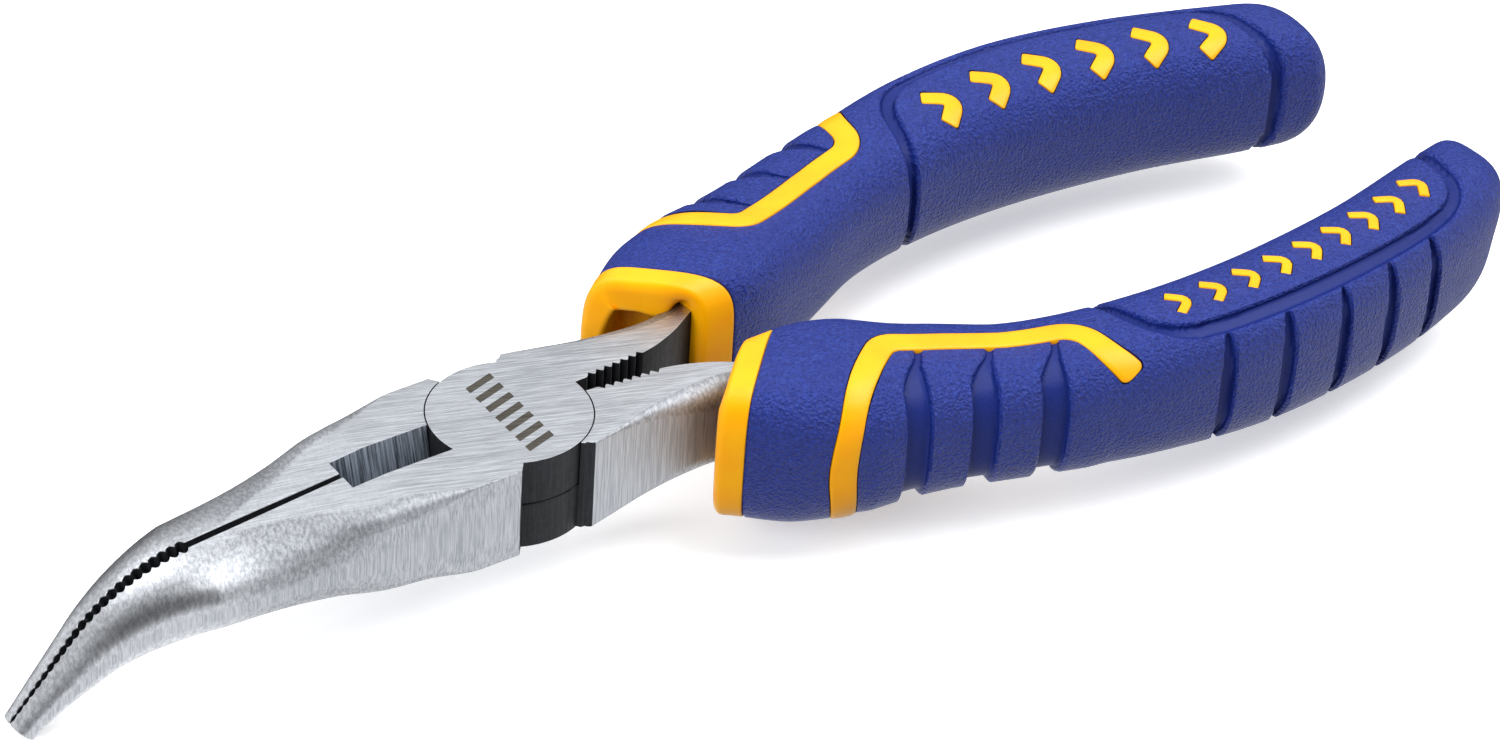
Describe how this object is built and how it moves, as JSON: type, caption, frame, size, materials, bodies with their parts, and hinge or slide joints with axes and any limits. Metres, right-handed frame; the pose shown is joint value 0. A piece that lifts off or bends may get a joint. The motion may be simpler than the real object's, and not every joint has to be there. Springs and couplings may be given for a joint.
{
  "type": "bent needle nose pliers",
  "caption": "Bent needle nose pliers with a lap joint, side cutters behind toothed jaws and moulded two-colour grips, for reaching, holding and cutting wire.",
  "frame": {"origin": "centre of the pivot, on the flat underside of the joint", "axes": "-X towards the nose, +X towards the handles, +Y towards the right handle, +Z out of the joint's top face, so the nose tip bends towards -Z"},
  "size_m": [0.1703, 0.0584, 0.0203],
  "materials": {
    "steel": "ground and brushed, with black oxide in the recesses",
    "rivet_steel": "ground flush",
    "yellow_plastic": "smooth satin",
    "blue_rubber": "fine leather grain"
  },
  "bodies": {
    "upper": {"upper_half": "steel", "pivot_rivet": "rivet_steel", "right_sleeve": "yellow_plastic", "right_grip": "blue_rubber"},
    "lower": {"lower_half": "steel", "left_sleeve": "yellow_plastic", "left_grip": "blue_rubber"}
  },
  "joints": [
    {"name": "pivot", "type": "hinge", "parent": "upper", "child": "lower", "pos_m": [0, 0, 0.00515], "axis": [0, 0, -1], "range_deg": [0, 40]}
  ]
}
